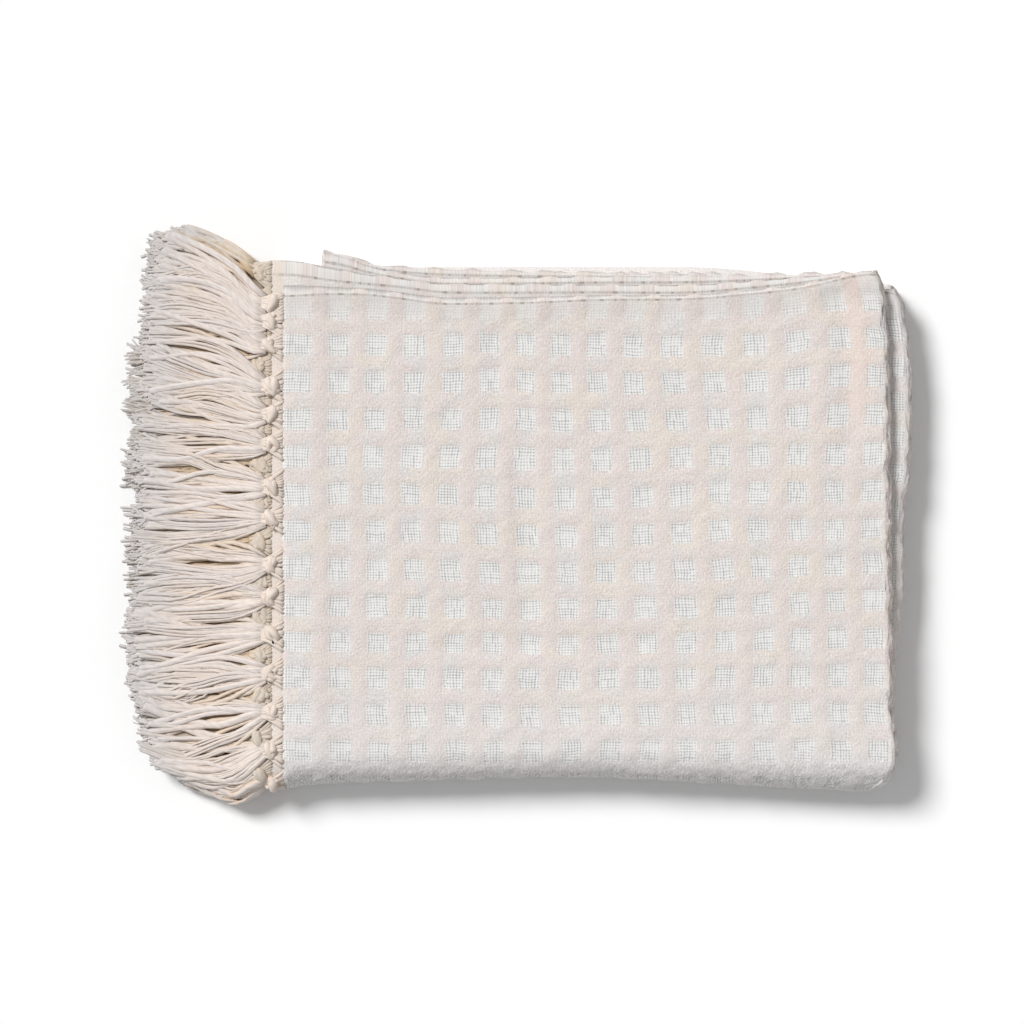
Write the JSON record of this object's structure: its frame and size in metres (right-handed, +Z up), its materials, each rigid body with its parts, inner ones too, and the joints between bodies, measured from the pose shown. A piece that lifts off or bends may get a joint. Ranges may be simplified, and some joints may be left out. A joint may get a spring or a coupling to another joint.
{
  "type": "folded waffle weave cotton blanket",
  "caption": "Folded open-weave cotton throw blanket, a neat flat stack of layers with a knotted tassel fringe along one side.",
  "frame": {"origin": "middle of the whole part's box, on the surface that it lies on", "axes": "+X along the stack's length, from the fringe to the folded end; +Y from the folded side to the open side with the selvedges; +Z up through the layers"},
  "size_m": [0.5064, 0.3664, 0.04],
  "materials": {
    "woven_cotton": "matte open weave with soft thick bands",
    "near_fringe_yarn": "matte soft yarn",
    "far_fringe_yarn": "matte soft yarn"
  },
  "bodies": {
    "root": {"cloth": "woven_cotton", "fringe_near": "near_fringe_yarn", "fringe_far": "far_fringe_yarn"}
  },
  "joints": []
}
